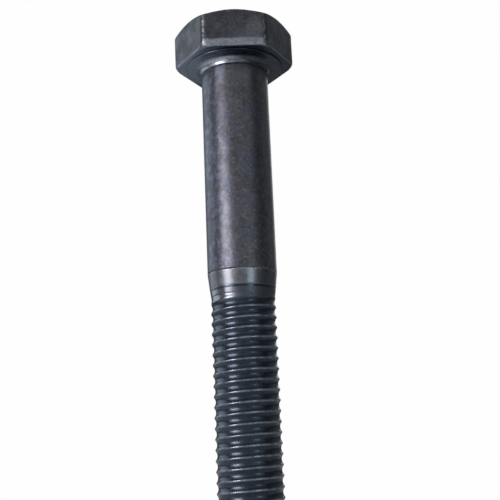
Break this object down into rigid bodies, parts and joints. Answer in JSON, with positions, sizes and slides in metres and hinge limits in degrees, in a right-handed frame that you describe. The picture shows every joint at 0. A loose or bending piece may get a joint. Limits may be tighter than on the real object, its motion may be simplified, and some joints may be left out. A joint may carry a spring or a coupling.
{
  "type": "hex bolt",
  "caption": "Partly threaded hexagon head bolt in black-oxide steel: chamfered head, washer face, plain shank, tapered run-out and a long coarse right-hand thread.",
  "frame": {"origin": "on the bolt's axis, in the plane of the bearing face under the head, where a bolt's length is measured from", "axes": "+Z runs along the bolt's axis towards the head, -Z towards the thread's end, and -Y out of one wrench flat of the head"},
  "size_m": [0.0214, 0.019, 0.098],
  "materials": {
    "forged_black_steel": "black oxide over a forged surface, mottled grey-brown with fine speckle, lighter where the corners and the trimmed lower edge are worn",
    "turned_black_steel": "black oxide over a turned face, dark blue-green, with a smooth fillet",
    "drawn_black_steel": "black oxide over drawn bar, warm brown-black with lengthwise streaks, pale specks and scratches",
    "burnished_black_steel": "black oxide over a burnished cone, smoother and brighter than the shank",
    "rolled_black_steel": "black oxide over a rolled thread, blue-black and lightly oiled, with bright crests"
  },
  "bodies": {
    "root": {"hex_head": "forged_black_steel", "washer_face_neck": "turned_black_steel", "plain_shank": "drawn_black_steel", "shank_cone": "burnished_black_steel", "thread_runout": "rolled_black_steel", "rolled_thread": "rolled_black_steel", "thread_point": "rolled_black_steel"}
  },
  "joints": []
}
